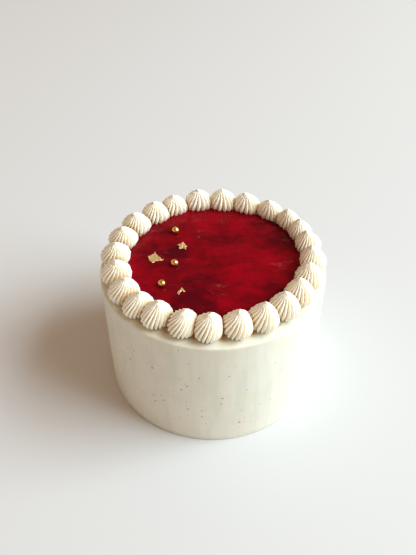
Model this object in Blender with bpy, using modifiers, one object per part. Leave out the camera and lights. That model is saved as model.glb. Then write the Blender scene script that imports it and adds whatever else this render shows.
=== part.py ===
"""A round iced cake with a ring of piped buttercream dollops and a shallow pool of berry jam.

The cake stands on z = 0 with the axis of its round side on z, and its front faces -Y. Twenty-four
ridged dollops ring the rim. The jam fills the space inside them up to their feet, and carries
three sugar pearls and three scraps of gold leaf. Units are metres.
"""

import math

import bmesh
import bpy
from mathutils import Vector

# Driving dimensions of the iced cake
CAKE_RADIUS = 0.080
CAKE_HEIGHT = 0.099
LIP_ROUND = 0.0015
FOOT_ROUND = 0.0010
CAKE_SIDES = 64
LIP_STEPS = 4
TOP_FLAT_RADIUS = 0.052

# Pieces that touch keep this much air between them.
GAP = 0.0003

# Driving dimensions of the piped dollops
RING_RADIUS = 0.0680
SIDE_OVERLAP = 0.0012
RIDGES = 19
RIDGE_DEPTH = 0.10
STRAIGHT_SHARE = 0.12
WIND_POWER = 1.4
PRESS_DEPTH = 0.0011
CROWDING = 0.6
LEAN_ROUND = 0.0018
LEAN_INWARDS = 0.0012

# The dollops as they were piped, from the left going round the front: the turn to the next one in
# degrees, how far it stands out from the ring in millimetres, how far its ridges wind in degrees,
# how far it reaches towards the jam and towards the rim, and its height, in millimetres.
FIRST_DOLLOP_DEG = -165.5
PIPING = (
    (16, 1.0, 35, 11.1, 11.0, 19.2), (14, 1.3, 40, 11.0, 10.7, 19.3), (13, 0.5, 45, 10.8, 11.3, 18.7),
    (16, -0.5, 30, 10.6, 11.5, 19.5), (14, -1.0, 60, 10.6, 11.8, 18.7), (16, 0.0, 40, 10.6, 11.6, 19.2),
    (15, -1.0, 45, 10.6, 11.8, 18.6), (15, -0.5, 40, 10.6, 11.5, 19.3), (14, -0.5, 25, 10.6, 11.2, 18.7),
    (15, 0.0, 20, 10.4, 10.6, 19.2), (15, 0.5, 25, 10.0, 10.6, 19.2), (15, 1.3, 30, 8.6, 10.6, 19.2),
    (12, 1.8, 35, 8.8, 10.2, 18.8), (12, 2.3, 35, 7.8, 9.7, 18.3), (15, 2.8, 30, 7.4, 9.2, 18.0),
    (16, 2.0, 25, 7.4, 10.0, 17.4), (16, 0.5, 25, 9.0, 10.6, 18.5), (16, 0.0, 20, 10.0, 10.6, 19.4),
    (17, 0.0, 25, 9.0, 10.8, 19.2), (14, -0.5, 25, 8.4, 10.9, 18.7), (17, 0.0, 30, 10.6, 11.2, 18.8),
    (15, 0.5, 35, 10.8, 11.2, 19.4), (16, 1.0, 40, 10.8, 11.0, 18.7), (16, 1.3, 40, 10.9, 10.7, 19.3),
)

# The side of a dollop from foot to tip: the share of its height, and of its half depth and half width.
DOLLOP_SIDE = (
    (0.0, 0.64, 0.72),
    (0.16, 0.90, 0.94),
    (0.37, 1.0, 1.0),
    (0.60, 0.79, 0.84),
    (0.79, 0.45, 0.51),
    (0.92, 0.16, 0.18),
)

# Driving dimensions of the jam
JAM_THICKNESS = 0.0035
JAM_REACH = 0.0635
JAM_SIDES = 72
JAM_SWELL = 0.00022
JAM_SWELL_LENGTHS = (0.058, 0.051, 0.036)
JAM_EDGE_ROUND = 0.0006
JAM_MEETS = 0.97
JAM_MEETS_WIDE = 1.16
JAM_TOP_RINGS = (0.90, 0.68, 0.42, 0.18)

# The toppings, each placed by its distance right of and behind the middle of the cake.
PEARL_RADIUS = 0.00275
PEARL_SUNK = 0.0006
PEARL_SIDES = 12
PEARL_RINGS = 7
PEARLS = ((-0.0280, 0.0317), (-0.0269, -0.0052), (-0.0345, -0.0261))
LEAF_THICKNESS = 0.0010
LEAF_LIFT = 0.0002
LEAF_WAVE = 0.00015
LEAF_WAVE_LENGTHS = (0.0082, 0.0107)

# The outlines of the scraps of leaf, in millimetres
LARGE_LEAF = (
    (-6, 1.5), (-2, 4.3), (-1.2, 7), (-0.4, 4.4), (2.3, 1),
    (5.7, -2.2), (0.3, -3.4), (-2, -5.8), (-4.7, -2.6),
)
STAR_LEAF = (
    (-4, 1.9), (0.5, 4.8), (1.3, 2.5), (3.3, -0.1),
    (2.6, -3.9), (0.7, -1.8), (-2.6, -2.8), (-2.1, -0.1),
)
BENT_LEAF = ((-2.4, -0.2), (0.5, 3.8), (3.1, 0.4), (1.8, -0.2), (0.6, 1.2), (-1.2, -2.9))
LEAVES = (
    (LARGE_LEAF, -0.0405, 0.0019),
    (STAR_LEAF, -0.0221, 0.0150),
    (BENT_LEAF, -0.0214, -0.0330),
)

# Colours as the red, green and blue that a shader takes
ICING_COLOUR = (0.86, 0.80, 0.68)
CREAM_COLOUR = (0.90, 0.85, 0.74)
JAM_COLOUR = (0.26, 0.004, 0.012)

MM = 0.001
WELD = 0.00001
SMOOTH_BELOW = math.radians(25)

CAKE_TOP = CAKE_HEIGHT + GAP
JAM_TOP = CAKE_TOP + JAM_THICKNESS


def clear_scene():
    for thing in list(bpy.data.objects):
        bpy.data.objects.remove(thing)


def new_collection(name):
    collection = bpy.data.collections.new(name)
    bpy.context.scene.collection.children.link(collection)
    return collection


def finish(name, colour, roughness):
    material = bpy.data.materials.new(name)
    material.use_nodes = True
    shader = material.node_tree.nodes["Principled BSDF"]
    shader.inputs["Base Color"].default_value = (*colour, 1.0)
    shader.inputs["Roughness"].default_value = roughness
    shader.inputs["Metallic"].default_value = 0.0
    return material


def new_piece(name, mesh, collection, material):
    mesh.shade_smooth()
    mesh.set_sharp_from_angle(angle=SMOOTH_BELOW)
    mesh.materials.append(material)
    piece = bpy.data.objects.new(name, mesh)
    collection.objects.link(piece)
    return piece


def shaped_ball(name, sides, levels, place):
    """A ball of rings between two poles, each point moved to where place(level, side) says.

    Level 0 is the pole underneath, and levels + 1 the pole on top.
    """
    shape = bmesh.new()
    bmesh.ops.create_uvsphere(shape, u_segments=sides, v_segments=levels + 1, radius=1.0)
    for point in shape.verts:
        from_top = math.acos(max(-1.0, min(1.0, point.co.z)))
        level = round((math.pi - from_top) / math.pi * (levels + 1))
        side = round(math.atan2(point.co.y, point.co.x) / math.tau * sides) % sides
        point.co = place(level, side)
    bmesh.ops.triangulate(shape, faces=shape.faces)
    bmesh.ops.recalc_face_normals(shape, faces=shape.faces)
    mesh = bpy.data.meshes.new(name)
    shape.to_mesh(mesh)
    shape.free()
    return mesh


def make_cake(collection):
    """The iced body: a profile from the middle of its top, over the lip and down to the floor."""
    lip = [
        (
            CAKE_RADIUS - LIP_ROUND * (1 - math.sin(turn)),
            CAKE_HEIGHT - LIP_ROUND * (1 - math.cos(turn)),
        )
        for turn in (math.pi / 2 * step / LIP_STEPS for step in range(LIP_STEPS + 1))
    ]
    foot = [(CAKE_RADIUS, FOOT_ROUND), (CAKE_RADIUS - FOOT_ROUND, 0.0)]
    side = [(0.0, CAKE_HEIGHT), (TOP_FLAT_RADIUS, CAKE_HEIGHT), *lip, *foot, (0.0, 0.0)]
    mesh = bpy.data.meshes.new("cake")
    edges = [(i, i + 1) for i in range(len(side) - 1)]
    mesh.from_pydata([(x, 0.0, z) for x, z in side], edges, [])
    icing = finish("icing", ICING_COLOUR, 0.55)
    cake = new_piece("cake", mesh, collection, icing)
    turned = cake.modifiers.new("turned", "SCREW")
    turned.steps = CAKE_SIDES
    turned.render_steps = CAKE_SIDES
    turned.use_merge_vertices = True
    turned.merge_threshold = WELD
    turned.use_smooth_shade = True


def ring_of_dollops():
    """Where each dollop stands: its turn, its distance from the axis, half its room on each side
    as an angle, and its half width along the ring."""
    places = []
    turn = math.radians(FIRST_DOLLOP_DEG)
    for i, row in enumerate(PIPING):
        step = row[0]
        reach = RING_RADIUS + row[1] * MM
        after = math.radians(step) / 2
        before = math.radians(PIPING[i - 1][0]) / 2
        half_width = reach * math.sin((after + before) / 2) + SIDE_OVERLAP
        places.append((turn, reach, after, before, half_width))
        turn += math.radians(step)
    return places


def pressed(x, y, reach, after, before):
    """Flatten a point against the two upright planes that the dollop shares with its neighbours."""
    least = GAP / 2
    give = PRESS_DEPTH - least
    for way, half in ((1, after), (-1, before)):
        clear = math.sin(half) * (x + reach) - math.cos(half) * y * way
        if clear < PRESS_DEPTH:
            push = least + give * math.exp((clear - PRESS_DEPTH) / give) - clear
            x += math.sin(half) * push
            y -= math.cos(half) * push * way
    return x, y


def ridge_wind(share):
    """How far round the ridges have wound at this share of the height: none at the foot."""
    return max(0.0, (share - STRAIGHT_SHARE) / (1 - STRAIGHT_SHARE)) ** WIND_POWER


def make_dollop(number, place, row, collection, material):
    """One star-tipped dollop in its own frame, with +X pointing away from the cake's axis.

    Towards the jam the ring is shorter, so there the dollops crowd together and get squarer feet.
    """
    wind = math.radians(row[2])
    inwards, outwards, height = (size * MM for size in row[3:])
    turn, reach, after, before, half_width = place
    sides = 2 * RIDGES

    def point_at(level, side):
        if level == 0:
            return Vector((0.0, 0.0, 0.0))
        if level > len(DOLLOP_SIDE):
            return Vector((-LEAN_INWARDS, LEAN_ROUND, height))
        share, deep, wide = DOLLOP_SIDE[level - 1]
        around = math.tau * side / sides + wind * ridge_wind(share)
        groove = RIDGE_DEPTH * (side % 2)
        along = deep * (1 - groove) * math.cos(around)
        across = wide * (1 - groove) * math.sin(around)
        crowded = CROWDING * (1 - share) * min(0.0, along) ** 2
        x = along * (inwards if along < 0 else outwards) - LEAN_INWARDS * share ** 2
        y = across * (1 + crowded) * half_width + LEAN_ROUND * share ** 2
        x, y = pressed(x, y, reach, after, before)
        return Vector((x, y, share * height))

    name = f"dollop_{number:02d}"
    mesh = shaped_ball(name, sides, len(DOLLOP_SIDE), point_at)
    dollop = new_piece(name, mesh, collection, material)
    dollop.location = (reach * math.cos(turn), reach * math.sin(turn), CAKE_TOP)
    dollop.rotation_euler = (0.0, 0.0, turn)


def make_dollops(collection, places):
    cream = finish("piped_cream", CREAM_COLOUR, 0.5)
    for number, (place, row) in enumerate(zip(places, PIPING), 1):
        make_dollop(number, place, row, collection, cream)


def jam_reach(turn, places):
    """How far the jam runs in this direction before it meets the foot of a dollop."""
    reach = JAM_REACH
    for (dollop_turn, ring, _, _, half_width), row in zip(places, PIPING):
        half_depth = row[3] * MM * JAM_MEETS + GAP
        along = math.cos(turn - dollop_turn) / half_depth
        across = math.sin(turn - dollop_turn) / (half_width * JAM_MEETS_WIDE + GAP)
        centre = ring / half_depth
        square = along ** 2 + across ** 2
        inside = (centre * along) ** 2 - square * (centre ** 2 - 1)
        if along > 0 and inside > 0:
            reach = min(reach, (centre * along - math.sqrt(inside)) / square)
    return reach


def jam_level(x, y):
    """The height of the jam's top at this point: flat but for a few soft swells."""
    across = math.sin(math.tau * x / JAM_SWELL_LENGTHS[0])
    along = math.cos(math.tau * y / JAM_SWELL_LENGTHS[1])
    slanting = math.sin(math.tau * (x - y) / JAM_SWELL_LENGTHS[2])
    return JAM_TOP + JAM_SWELL * (across * along + slanting / 2)


def jam_body(places):
    rim_levels = (
        (-JAM_EDGE_ROUND, CAKE_TOP),
        (0.0, CAKE_TOP + JAM_THICKNESS / 2),
        (-JAM_EDGE_ROUND, JAM_TOP),
    )

    def point_at(level, side):
        if level == 0:
            return Vector((0.0, 0.0, CAKE_TOP))
        turn = math.tau * side / JAM_SIDES
        reach = jam_reach(turn, places)
        if level <= len(rim_levels):
            shrink, height = rim_levels[level - 1]
            radius = reach + shrink
            return Vector((radius * math.cos(turn), radius * math.sin(turn), height))
        inner = level - len(rim_levels) - 1
        radius = reach * JAM_TOP_RINGS[inner] if inner < len(JAM_TOP_RINGS) else 0.0
        x = radius * math.cos(turn)
        y = radius * math.sin(turn)
        return Vector((x, y, jam_level(x, y)))

    return shaped_ball("jam", JAM_SIDES, len(rim_levels) + len(JAM_TOP_RINGS), point_at)


def pearl_mesh(name):
    shape = bmesh.new()
    bmesh.ops.create_uvsphere(shape, u_segments=PEARL_SIDES, v_segments=PEARL_RINGS, radius=PEARL_RADIUS)
    mesh = bpy.data.meshes.new(name)
    shape.to_mesh(mesh)
    shape.free()
    return mesh


def leaf_mesh(name, outline):
    """A scrap of leaf: its outline filled and thickened, then given a slight wave."""
    flat = bpy.data.curves.new(name, "CURVE")
    flat.dimensions = "2D"
    flat.fill_mode = "BOTH"
    flat.extrude = LEAF_THICKNESS / 2
    edge = flat.splines.new("POLY")
    edge.points.add(len(outline) - 1)
    edge.use_cyclic_u = True
    for point, (x, y) in zip(edge.points, outline):
        point.co = (x * MM, y * MM, 0.0, 1.0)
    cut_out = bpy.data.objects.new(name, flat)
    bpy.context.scene.collection.objects.link(cut_out)
    shaped = cut_out.evaluated_get(bpy.context.evaluated_depsgraph_get())
    mesh = bpy.data.meshes.new_from_object(shaped)
    bpy.data.objects.remove(cut_out)
    shape = bmesh.new()
    shape.from_mesh(mesh)
    bmesh.ops.remove_doubles(shape, verts=shape.verts, dist=WELD)
    for point in shape.verts:
        across = math.sin(math.tau * point.co.x / LEAF_WAVE_LENGTHS[0])
        along = math.cos(math.tau * point.co.y / LEAF_WAVE_LENGTHS[1])
        point.co.z += LEAF_WAVE * across * along
    bmesh.ops.triangulate(shape, faces=shape.faces)
    bmesh.ops.recalc_face_normals(shape, faces=shape.faces)
    shape.to_mesh(mesh)
    shape.free()
    return mesh


def make_jam(collection, places):
    """The pool of jam with its pearls and leaf fused on, so that it is one solid."""
    red = finish("jam", JAM_COLOUR, 0.15)
    jam = new_piece("jam", jam_body(places), collection, red)
    toppings = new_collection("toppings")
    for number, (x, y) in enumerate(PEARLS, 1):
        pearl = bpy.data.objects.new(f"pearl_{number}", pearl_mesh(f"pearl_{number}"))
        pearl.location = (x, y, jam_level(x, y) + PEARL_RADIUS - PEARL_SUNK)
        toppings.objects.link(pearl)
    for number, (outline, x, y) in enumerate(LEAVES, 1):
        leaf = bpy.data.objects.new(f"leaf_{number}", leaf_mesh(f"leaf_{number}", outline))
        leaf.location = (x, y, jam_level(x, y) + LEAF_LIFT)
        toppings.objects.link(leaf)
    fused = jam.modifiers.new("toppings", "BOOLEAN")
    fused.operation = "UNION"
    fused.operand_type = "COLLECTION"
    fused.collection = toppings
    bpy.context.view_layer.update()
    whole = bpy.data.meshes.new_from_object(
        jam.evaluated_get(bpy.context.evaluated_depsgraph_get())
    )
    jam.modifiers.remove(fused)
    whole.set_sharp_from_angle(angle=SMOOTH_BELOW)
    jam.data = whole
    for topping in list(toppings.objects):
        bpy.data.objects.remove(topping)
    bpy.data.collections.remove(toppings)


def build():
    clear_scene()
    collection = new_collection("buttercream_cake")
    places = ring_of_dollops()
    make_cake(collection)
    make_dollops(collection, places)
    make_jam(collection, places)


build()
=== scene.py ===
# %% [markdown]
# Buttercream cake, from plain solids to food
#
# The frame holds the cake as plain solids at their real size: the iced body, twenty-four piped
# dollops, and the jam with its toppings. Each cell below takes one of them and makes it look like
# the real thing. The real cake is spread, scraped, piped and spooned, so every surface starts
# from a true form and then gets the small unevenness that a hand leaves.

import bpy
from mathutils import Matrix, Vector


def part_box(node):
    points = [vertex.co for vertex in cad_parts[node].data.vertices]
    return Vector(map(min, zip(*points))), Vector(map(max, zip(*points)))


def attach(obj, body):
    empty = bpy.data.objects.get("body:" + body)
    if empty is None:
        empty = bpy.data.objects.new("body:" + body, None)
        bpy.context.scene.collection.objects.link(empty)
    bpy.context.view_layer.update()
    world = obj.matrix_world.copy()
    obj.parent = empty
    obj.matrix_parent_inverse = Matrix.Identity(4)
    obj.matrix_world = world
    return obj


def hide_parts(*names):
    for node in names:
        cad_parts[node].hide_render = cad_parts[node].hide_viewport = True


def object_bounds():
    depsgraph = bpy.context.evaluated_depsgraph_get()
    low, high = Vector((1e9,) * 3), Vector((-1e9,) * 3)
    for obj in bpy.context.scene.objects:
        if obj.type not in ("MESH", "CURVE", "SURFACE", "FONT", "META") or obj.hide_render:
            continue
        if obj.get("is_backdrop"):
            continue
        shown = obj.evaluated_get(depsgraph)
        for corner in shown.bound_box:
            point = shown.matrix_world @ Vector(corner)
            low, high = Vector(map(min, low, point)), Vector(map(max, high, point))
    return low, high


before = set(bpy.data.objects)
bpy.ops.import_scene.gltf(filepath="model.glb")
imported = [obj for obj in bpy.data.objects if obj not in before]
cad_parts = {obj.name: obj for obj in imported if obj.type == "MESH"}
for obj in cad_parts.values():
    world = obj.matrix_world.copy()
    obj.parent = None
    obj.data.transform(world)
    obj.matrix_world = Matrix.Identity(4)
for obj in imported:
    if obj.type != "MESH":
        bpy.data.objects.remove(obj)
cad_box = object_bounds()
cad_size = [round(side * 1000, 1) for side in cad_box[1] - cad_box[0]]
print("nodes:", len(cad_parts), "box in mm:", cad_size)

# %% Tools and units
import math
import random

import bmesh
import bpy
from mathutils import Matrix, Vector, noise

MM = 0.001
scene = bpy.context.scene

# %% [markdown]
# Sizes come from the frame where it can say them, so that nothing has to be fitted afterwards.
# The ring of dollops repeats the few driving sizes that the solids were made from: a dollop's
# box alone doesn't say where its neighbours press against it.

# %% Sizes of the cake
CAKE_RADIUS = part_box("cake")[1].x
CAKE_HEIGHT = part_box("cake")[1].z
GAP = 0.3 * MM
JAM_THICKNESS = 3.5 * MM
CAKE_TOP = CAKE_HEIGHT + GAP
JAM_TOP = CAKE_TOP + JAM_THICKNESS
print(f"iced body {CAKE_RADIUS / MM:.1f} mm in radius and {CAKE_HEIGHT / MM:.1f} mm tall")

# %% [markdown]
# The camera looks down at the cake at about 42 degrees, from half a metre away. A photograph's
# focal length can be given in pixels, and Blender wants it in millimetres of a 36 mm sensor, so
# the longer side of the picture turns the one into the other.

# %% Camera
PICTURE = (416, 555)
FOCAL_PIXELS = 635.0
SENSOR = 36.0
CAMERA_PLACE = (0.0, -0.3410, 0.3967)
CAMERA_TURN = (47.72, 0.03, 0.57)

camera = bpy.data.objects.new("camera", bpy.data.cameras.new("camera"))
scene.collection.objects.link(camera)
camera.data.sensor_width = SENSOR
camera.data.lens = FOCAL_PIXELS / max(PICTURE) * SENSOR
camera.location = CAMERA_PLACE
camera.rotation_euler = [math.radians(turn) for turn in CAMERA_TURN]
scene.camera = camera
print(f"lens {camera.data.lens:.2f} mm")

# %% [markdown]
# The light is that of a room with one large window: strong and soft from high on the right, and a
# weak warm glow from the rest of the room. A wide area light stands for the window. The view
# transform is Standard, because the picture is high key with clipped whites and a saturated red,
# which a filmic curve would turn grey and pink.

# %% Window
WINDOW_PLACE = Vector((3.13, -0.33, 2.51))
WINDOW_AIM = Vector((0.0, 0.0, 0.05))
WINDOW_WIDTH = 3.2
WINDOW_WATTS = 288.0
WINDOW_COLOUR = (0.82, 0.95, 1.0)

window_light = bpy.data.lights.new("window", "AREA")
window_light.shape = "SQUARE"
window_light.size = WINDOW_WIDTH
window_light.energy = WINDOW_WATTS
window_light.color = WINDOW_COLOUR
window = bpy.data.objects.new("window", window_light)
scene.collection.objects.link(window)
window.location = WINDOW_PLACE
window.rotation_euler = (WINDOW_AIM - WINDOW_PLACE).to_track_quat("-Z", "Y").to_euler()
print(f"window {(WINDOW_AIM - WINDOW_PLACE).length:.1f} m away")

# %% [markdown]
# The room's warm colour lights the cake, but a camera that looks past the floor sees a plain pale
# backdrop instead. The floor is pale too, and wide enough that its end lies far behind the cake.

# %% Room and floor
ROOM_COLOUR = (1.0, 0.68, 0.45)
ROOM_STRENGTH = 0.461
BACKDROP_COLOUR = (0.80, 0.80, 0.79)
FLOOR_WIDTH = 12.0
FLOOR_COLOUR = (0.655, 0.67, 0.685)
FLOOR_ROUGHNESS = 0.6

scene.world = bpy.data.worlds.new("room")
scene.world.use_nodes = True
surroundings = scene.world.node_tree
room = surroundings.nodes["Background"]
room.inputs["Color"].default_value = (*ROOM_COLOUR, 1.0)
room.inputs["Strength"].default_value = ROOM_STRENGTH
backdrop = surroundings.nodes.new("ShaderNodeBackground")
backdrop.inputs["Color"].default_value = (*BACKDROP_COLOUR, 1.0)
seen_directly = surroundings.nodes.new("ShaderNodeLightPath").outputs["Is Camera Ray"]
either = surroundings.nodes.new("ShaderNodeMixShader")
surroundings.links.new(seen_directly, either.inputs[0])
surroundings.links.new(room.outputs[0], either.inputs[1])
surroundings.links.new(backdrop.outputs[0], either.inputs[2])
surroundings.links.new(either.outputs[0], surroundings.nodes["World Output"].inputs["Surface"])
scene.view_settings.view_transform = "Standard"

bpy.ops.mesh.primitive_plane_add(size=FLOOR_WIDTH)
floor = bpy.context.active_object
floor.name = "floor"
floor_finish = bpy.data.materials.new("floor")
floor_finish.use_nodes = True
floor_shader = floor_finish.node_tree.nodes["Principled BSDF"]
floor_shader.inputs["Base Color"].default_value = (*FLOOR_COLOUR, 1.0)
floor_shader.inputs["Roughness"].default_value = FLOOR_ROUGHNESS
floor.data.materials.append(floor_finish)
floor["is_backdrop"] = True
print(f"floor {FLOOR_WIDTH:.0f} m wide")

# %% [markdown]
# Blender's modelling operators act on what is selected. These helpers clear the selection, pick
# points by their place, and finish a piece, so that each later cell can say only what it shapes.
# A finished piece keeps its place in its mesh, with its object at the origin.

# %% Helpers for modelling
def clear_selection():
    bpy.ops.object.select_all(action="DESELECT")


def pick_points(piece, wanted):
    """In edit mode, select only the points whose place passes the test."""
    bpy.ops.mesh.select_mode(type="VERT")
    points = bmesh.from_edit_mesh(piece.data)
    for point in points.verts:
        point.select = wanted(point.co)
    points.select_flush_mode()
    bmesh.update_edit_mesh(piece.data)


def apply_modifier(piece, kind, **settings):
    modifier = piece.modifiers.new(kind.lower(), kind)
    for name, value in settings.items():
        setattr(modifier, name, value)
    bpy.context.view_layer.objects.active = piece
    bpy.ops.object.modifier_apply(modifier=modifier.name)


def settle(piece):
    """Put the piece's place, turn and size into its mesh."""
    piece.data.transform(piece.matrix_world)
    piece.matrix_world = Matrix.Identity(4)


def hand_in(piece, material, slot, *nodes):
    """Give the piece its finish, and let it ride on the cake and stand for its solids."""
    piece.data.materials.clear()
    piece.data.materials.append(material)
    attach(piece, "root")
    if nodes:
        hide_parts(*nodes)
    print(f"{piece.name}: {len(piece.data.vertices)} points")


def spun(name, profile, steps):
    """A turned shape: a line of points drawn by extruding one point, then spun about the z axis."""
    clear_selection()
    start = Vector((profile[0][0], 0.0, profile[0][1]))
    bpy.ops.mesh.primitive_plane_add(size=MM, location=start)
    piece = bpy.context.active_object
    piece.name = name
    bpy.ops.object.transform_apply(location=True, rotation=True, scale=True)
    bpy.ops.object.mode_set(mode="EDIT")
    bpy.ops.mesh.select_all(action="SELECT")
    bpy.ops.mesh.merge(type="CENTER")
    for (x0, z0), (x1, z1) in zip(profile, profile[1:]):
        step = (x1 - x0, 0.0, z1 - z0)
        bpy.ops.mesh.extrude_region_move(TRANSFORM_OT_translate={"value": step})
    bpy.ops.mesh.select_all(action="SELECT")
    bpy.ops.mesh.spin(steps=steps, angle=math.tau, center=(0, 0, 0), axis=(0, 0, 1))
    bpy.ops.mesh.select_all(action="SELECT")
    bpy.ops.mesh.remove_doubles(threshold=0.01 * MM)
    bpy.ops.mesh.normals_make_consistent(inside=False)
    bpy.ops.object.mode_set(mode="OBJECT")
    piece.data.shade_smooth()
    return piece


def unevenness(place, length, seed=0.0):
    """A smooth random value from -1 to 1 that changes over about this length."""
    return noise.noise(place / length + Vector((seed, seed * 2.3, seed * 3.7)))


# %% [markdown]
# Buttercream is butter and sugar beaten with air. Close up it has a very fine grain, and a faint
# mottle where it was worked. The same cream covers the body and makes the dollops, so its grain
# is a node group, placed in both materials with its own values. It reads Object coordinates, so
# its grain has a real size. A second group scatters small round spots, and makes both the vanilla
# seeds just under the surface and the tiny pits that air bubbles leave.

# %% Helpers for materials
def new_group(name, inputs, outputs):
    group = bpy.data.node_groups.new(name, "ShaderNodeTree")
    for socket, kind, value in inputs:
        made = group.interface.new_socket(socket, in_out="INPUT", socket_type=kind)
        made.default_value = value
    for socket, kind in outputs:
        group.interface.new_socket(socket, in_out="OUTPUT", socket_type=kind)
    return group, group.nodes.new("NodeGroupInput"), group.nodes.new("NodeGroupOutput")


def place_node(tree, kind, settings=None, **values):
    """A node with its settings, and its sockets set to a value or linked from another socket."""
    node = tree.nodes.new(kind)
    for name, value in (settings or {}).items():
        setattr(node, name, value)
    for name, value in values.items():
        socket = node.inputs[name.replace("_", " ")]
        if isinstance(value, bpy.types.NodeSocket):
            tree.links.new(value, socket)
        else:
            socket.default_value = value
    return node


def placed_group(tree, group, **values):
    """The outputs of a node group that is placed in this tree with its own values."""
    return place_node(tree, "ShaderNodeGroup", {"node_tree": group}, **values).outputs


def arithmetic(tree, operation, first, second=0.0, third=0.0):
    node = tree.nodes.new("ShaderNodeMath")
    node.operation = operation
    for socket, value in zip(node.inputs, (first, second, third)):
        if isinstance(value, bpy.types.NodeSocket):
            tree.links.new(value, socket)
        else:
            socket.default_value = value
    return node.outputs[0]


def ranged(tree, value, low, high, to_low=0.0, to_high=1.0):
    """The value between low and high, spread smoothly over a new range."""
    node = place_node(
        tree, "ShaderNodeMapRange", {"interpolation_type": "SMOOTHSTEP"},
        Value=value, From_Min=low, From_Max=high, To_Min=to_low, To_Max=to_high,
    )
    return node.outputs["Result"]


def mixed(tree, share, first, second):
    """A colour between the first and the second."""
    node = tree.nodes.new("ShaderNodeMix")
    node.data_type = "RGBA"
    colour_a, colour_b = [s for s in node.inputs if s.type == "RGBA"]
    for socket, value in ((node.inputs[0], share), (colour_a, first), (colour_b, second)):
        if isinstance(value, bpy.types.NodeSocket):
            tree.links.new(value, socket)
        elif isinstance(value, tuple):
            socket.default_value = (*value, 1.0)
        else:
            socket.default_value = value
    return [s for s in node.outputs if s.type == "RGBA"][0]


def new_material(name):
    material = bpy.data.materials.new(name)
    material.use_nodes = True
    return material, material.node_tree, material.node_tree.nodes["Principled BSDF"]


# %% Node group for the cream's grain
grain_group, grain_in, grain_out = new_group(
    "cream grain",
    [("Grain Size", "NodeSocketFloat", 0.0012), ("Mottle Size", "NodeSocketFloat", 0.012)],
    [("Mottle", "NodeSocketFloat"), ("Height", "NodeSocketFloat")],
)
where = grain_group.nodes.new("ShaderNodeTexCoord").outputs["Object"]
fine_scale = arithmetic(grain_group, "DIVIDE", 1.0, grain_in.outputs["Grain Size"])
fine = place_node(grain_group, "ShaderNodeTexNoise", Vector=where, Scale=fine_scale, Detail=3.0)
wide_scale = arithmetic(grain_group, "DIVIDE", 1.0, grain_in.outputs["Mottle Size"])
wide = place_node(grain_group, "ShaderNodeTexNoise", Vector=where, Scale=wide_scale, Detail=2.0)
height = arithmetic(grain_group, "MULTIPLY_ADD", wide.outputs["Fac"], 2.0, fine.outputs["Fac"])
grain_group.links.new(ranged(grain_group, wide.outputs["Fac"], 0.3, 0.7), grain_out.inputs["Mottle"])
grain_group.links.new(height, grain_out.inputs["Height"])
print("cream grain:", len(grain_group.nodes), "nodes")

# %% Node group for small scattered spots
speck_group, speck_in, speck_out = new_group(
    "scattered specks",
    [("Cell Size", "NodeSocketFloat", 0.006), ("Share", "NodeSocketFloat", 0.3)],
    [("Mask", "NodeSocketFloat")],
)
where = speck_group.nodes.new("ShaderNodeTexCoord").outputs["Object"]
cell_scale = arithmetic(speck_group, "DIVIDE", 1.0, speck_in.outputs["Cell Size"])
cells = place_node(speck_group, "ShaderNodeTexVoronoi", Vector=where, Scale=cell_scale)
speck = ranged(speck_group, cells.outputs["Distance"], 0.06, 0.20, 1.0, 0.0)
draw = place_node(speck_group, "ShaderNodeSeparateColor", Color=cells.outputs["Color"])
chosen = arithmetic(speck_group, "LESS_THAN", draw.outputs["Red"], speck_in.outputs["Share"])
faint = arithmetic(speck_group, "MULTIPLY", chosen, draw.outputs["Green"])
speck_group.links.new(arithmetic(speck_group, "MULTIPLY", speck, faint), speck_out.inputs["Mask"])
print("scattered specks:", len(speck_group.nodes), "nodes")

# %% [markdown]
# The icing on the body was scraped smooth, so it is satin, with fine level lines from the
# scraper as the turntable went round, and faint upright bands of warmer and cooler cream where
# the scraper wavered. Light goes a little way into it, which subsurface scattering gives: it
# keeps the shaded side warm and soft.

# %% Cream colours, and what both creams share
# The scraped icing's ivory is darker than the piped cream's, though both are one cream: painted light
# that makes the dollops brighter, as light through their thick cream does
IVORY = (0.79, 0.79, 0.70)
DEEP_CREAM = (0.735, 0.685, 0.545)
COOL_CREAM = (0.715, 0.727, 0.633)
SEED_GREY = (0.36, 0.32, 0.25)
# Painted shade for the creases where dollops press together and where their feet meet on the icing
HONEY_SHADE = (0.66, 0.36, 0.11)
SCATTER_COLOUR = (1.0, 0.62, 0.36)


def cream_shader(shader, roughness, depth, weight):
    shader.inputs["Roughness"].default_value = roughness
    shader.inputs["Subsurface Weight"].default_value = weight
    shader.inputs["Subsurface Radius"].default_value = SCATTER_COLOUR
    shader.inputs["Subsurface Scale"].default_value = depth
    shader.inputs["Specular IOR Level"].default_value = 0.35


# %% Material of the scraped icing
# How often each stretched pattern repeats in a metre, across, deep and up
UPRIGHT_BANDS = (150.0, 150.0, 22.0)
LEVEL_LINES = (12.0, 12.0, 900.0)

icing, tree, shader = new_material("scraped icing")
cream_shader(shader, 0.5, 2.0 * MM, 0.35)
grain = placed_group(tree, grain_group, Grain_Size=0.9 * MM, Mottle_Size=14 * MM)
seeds = placed_group(tree, speck_group, Cell_Size=4.5 * MM, Share=0.4)
pits = placed_group(tree, speck_group, Cell_Size=2.6 * MM, Share=0.35)

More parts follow.
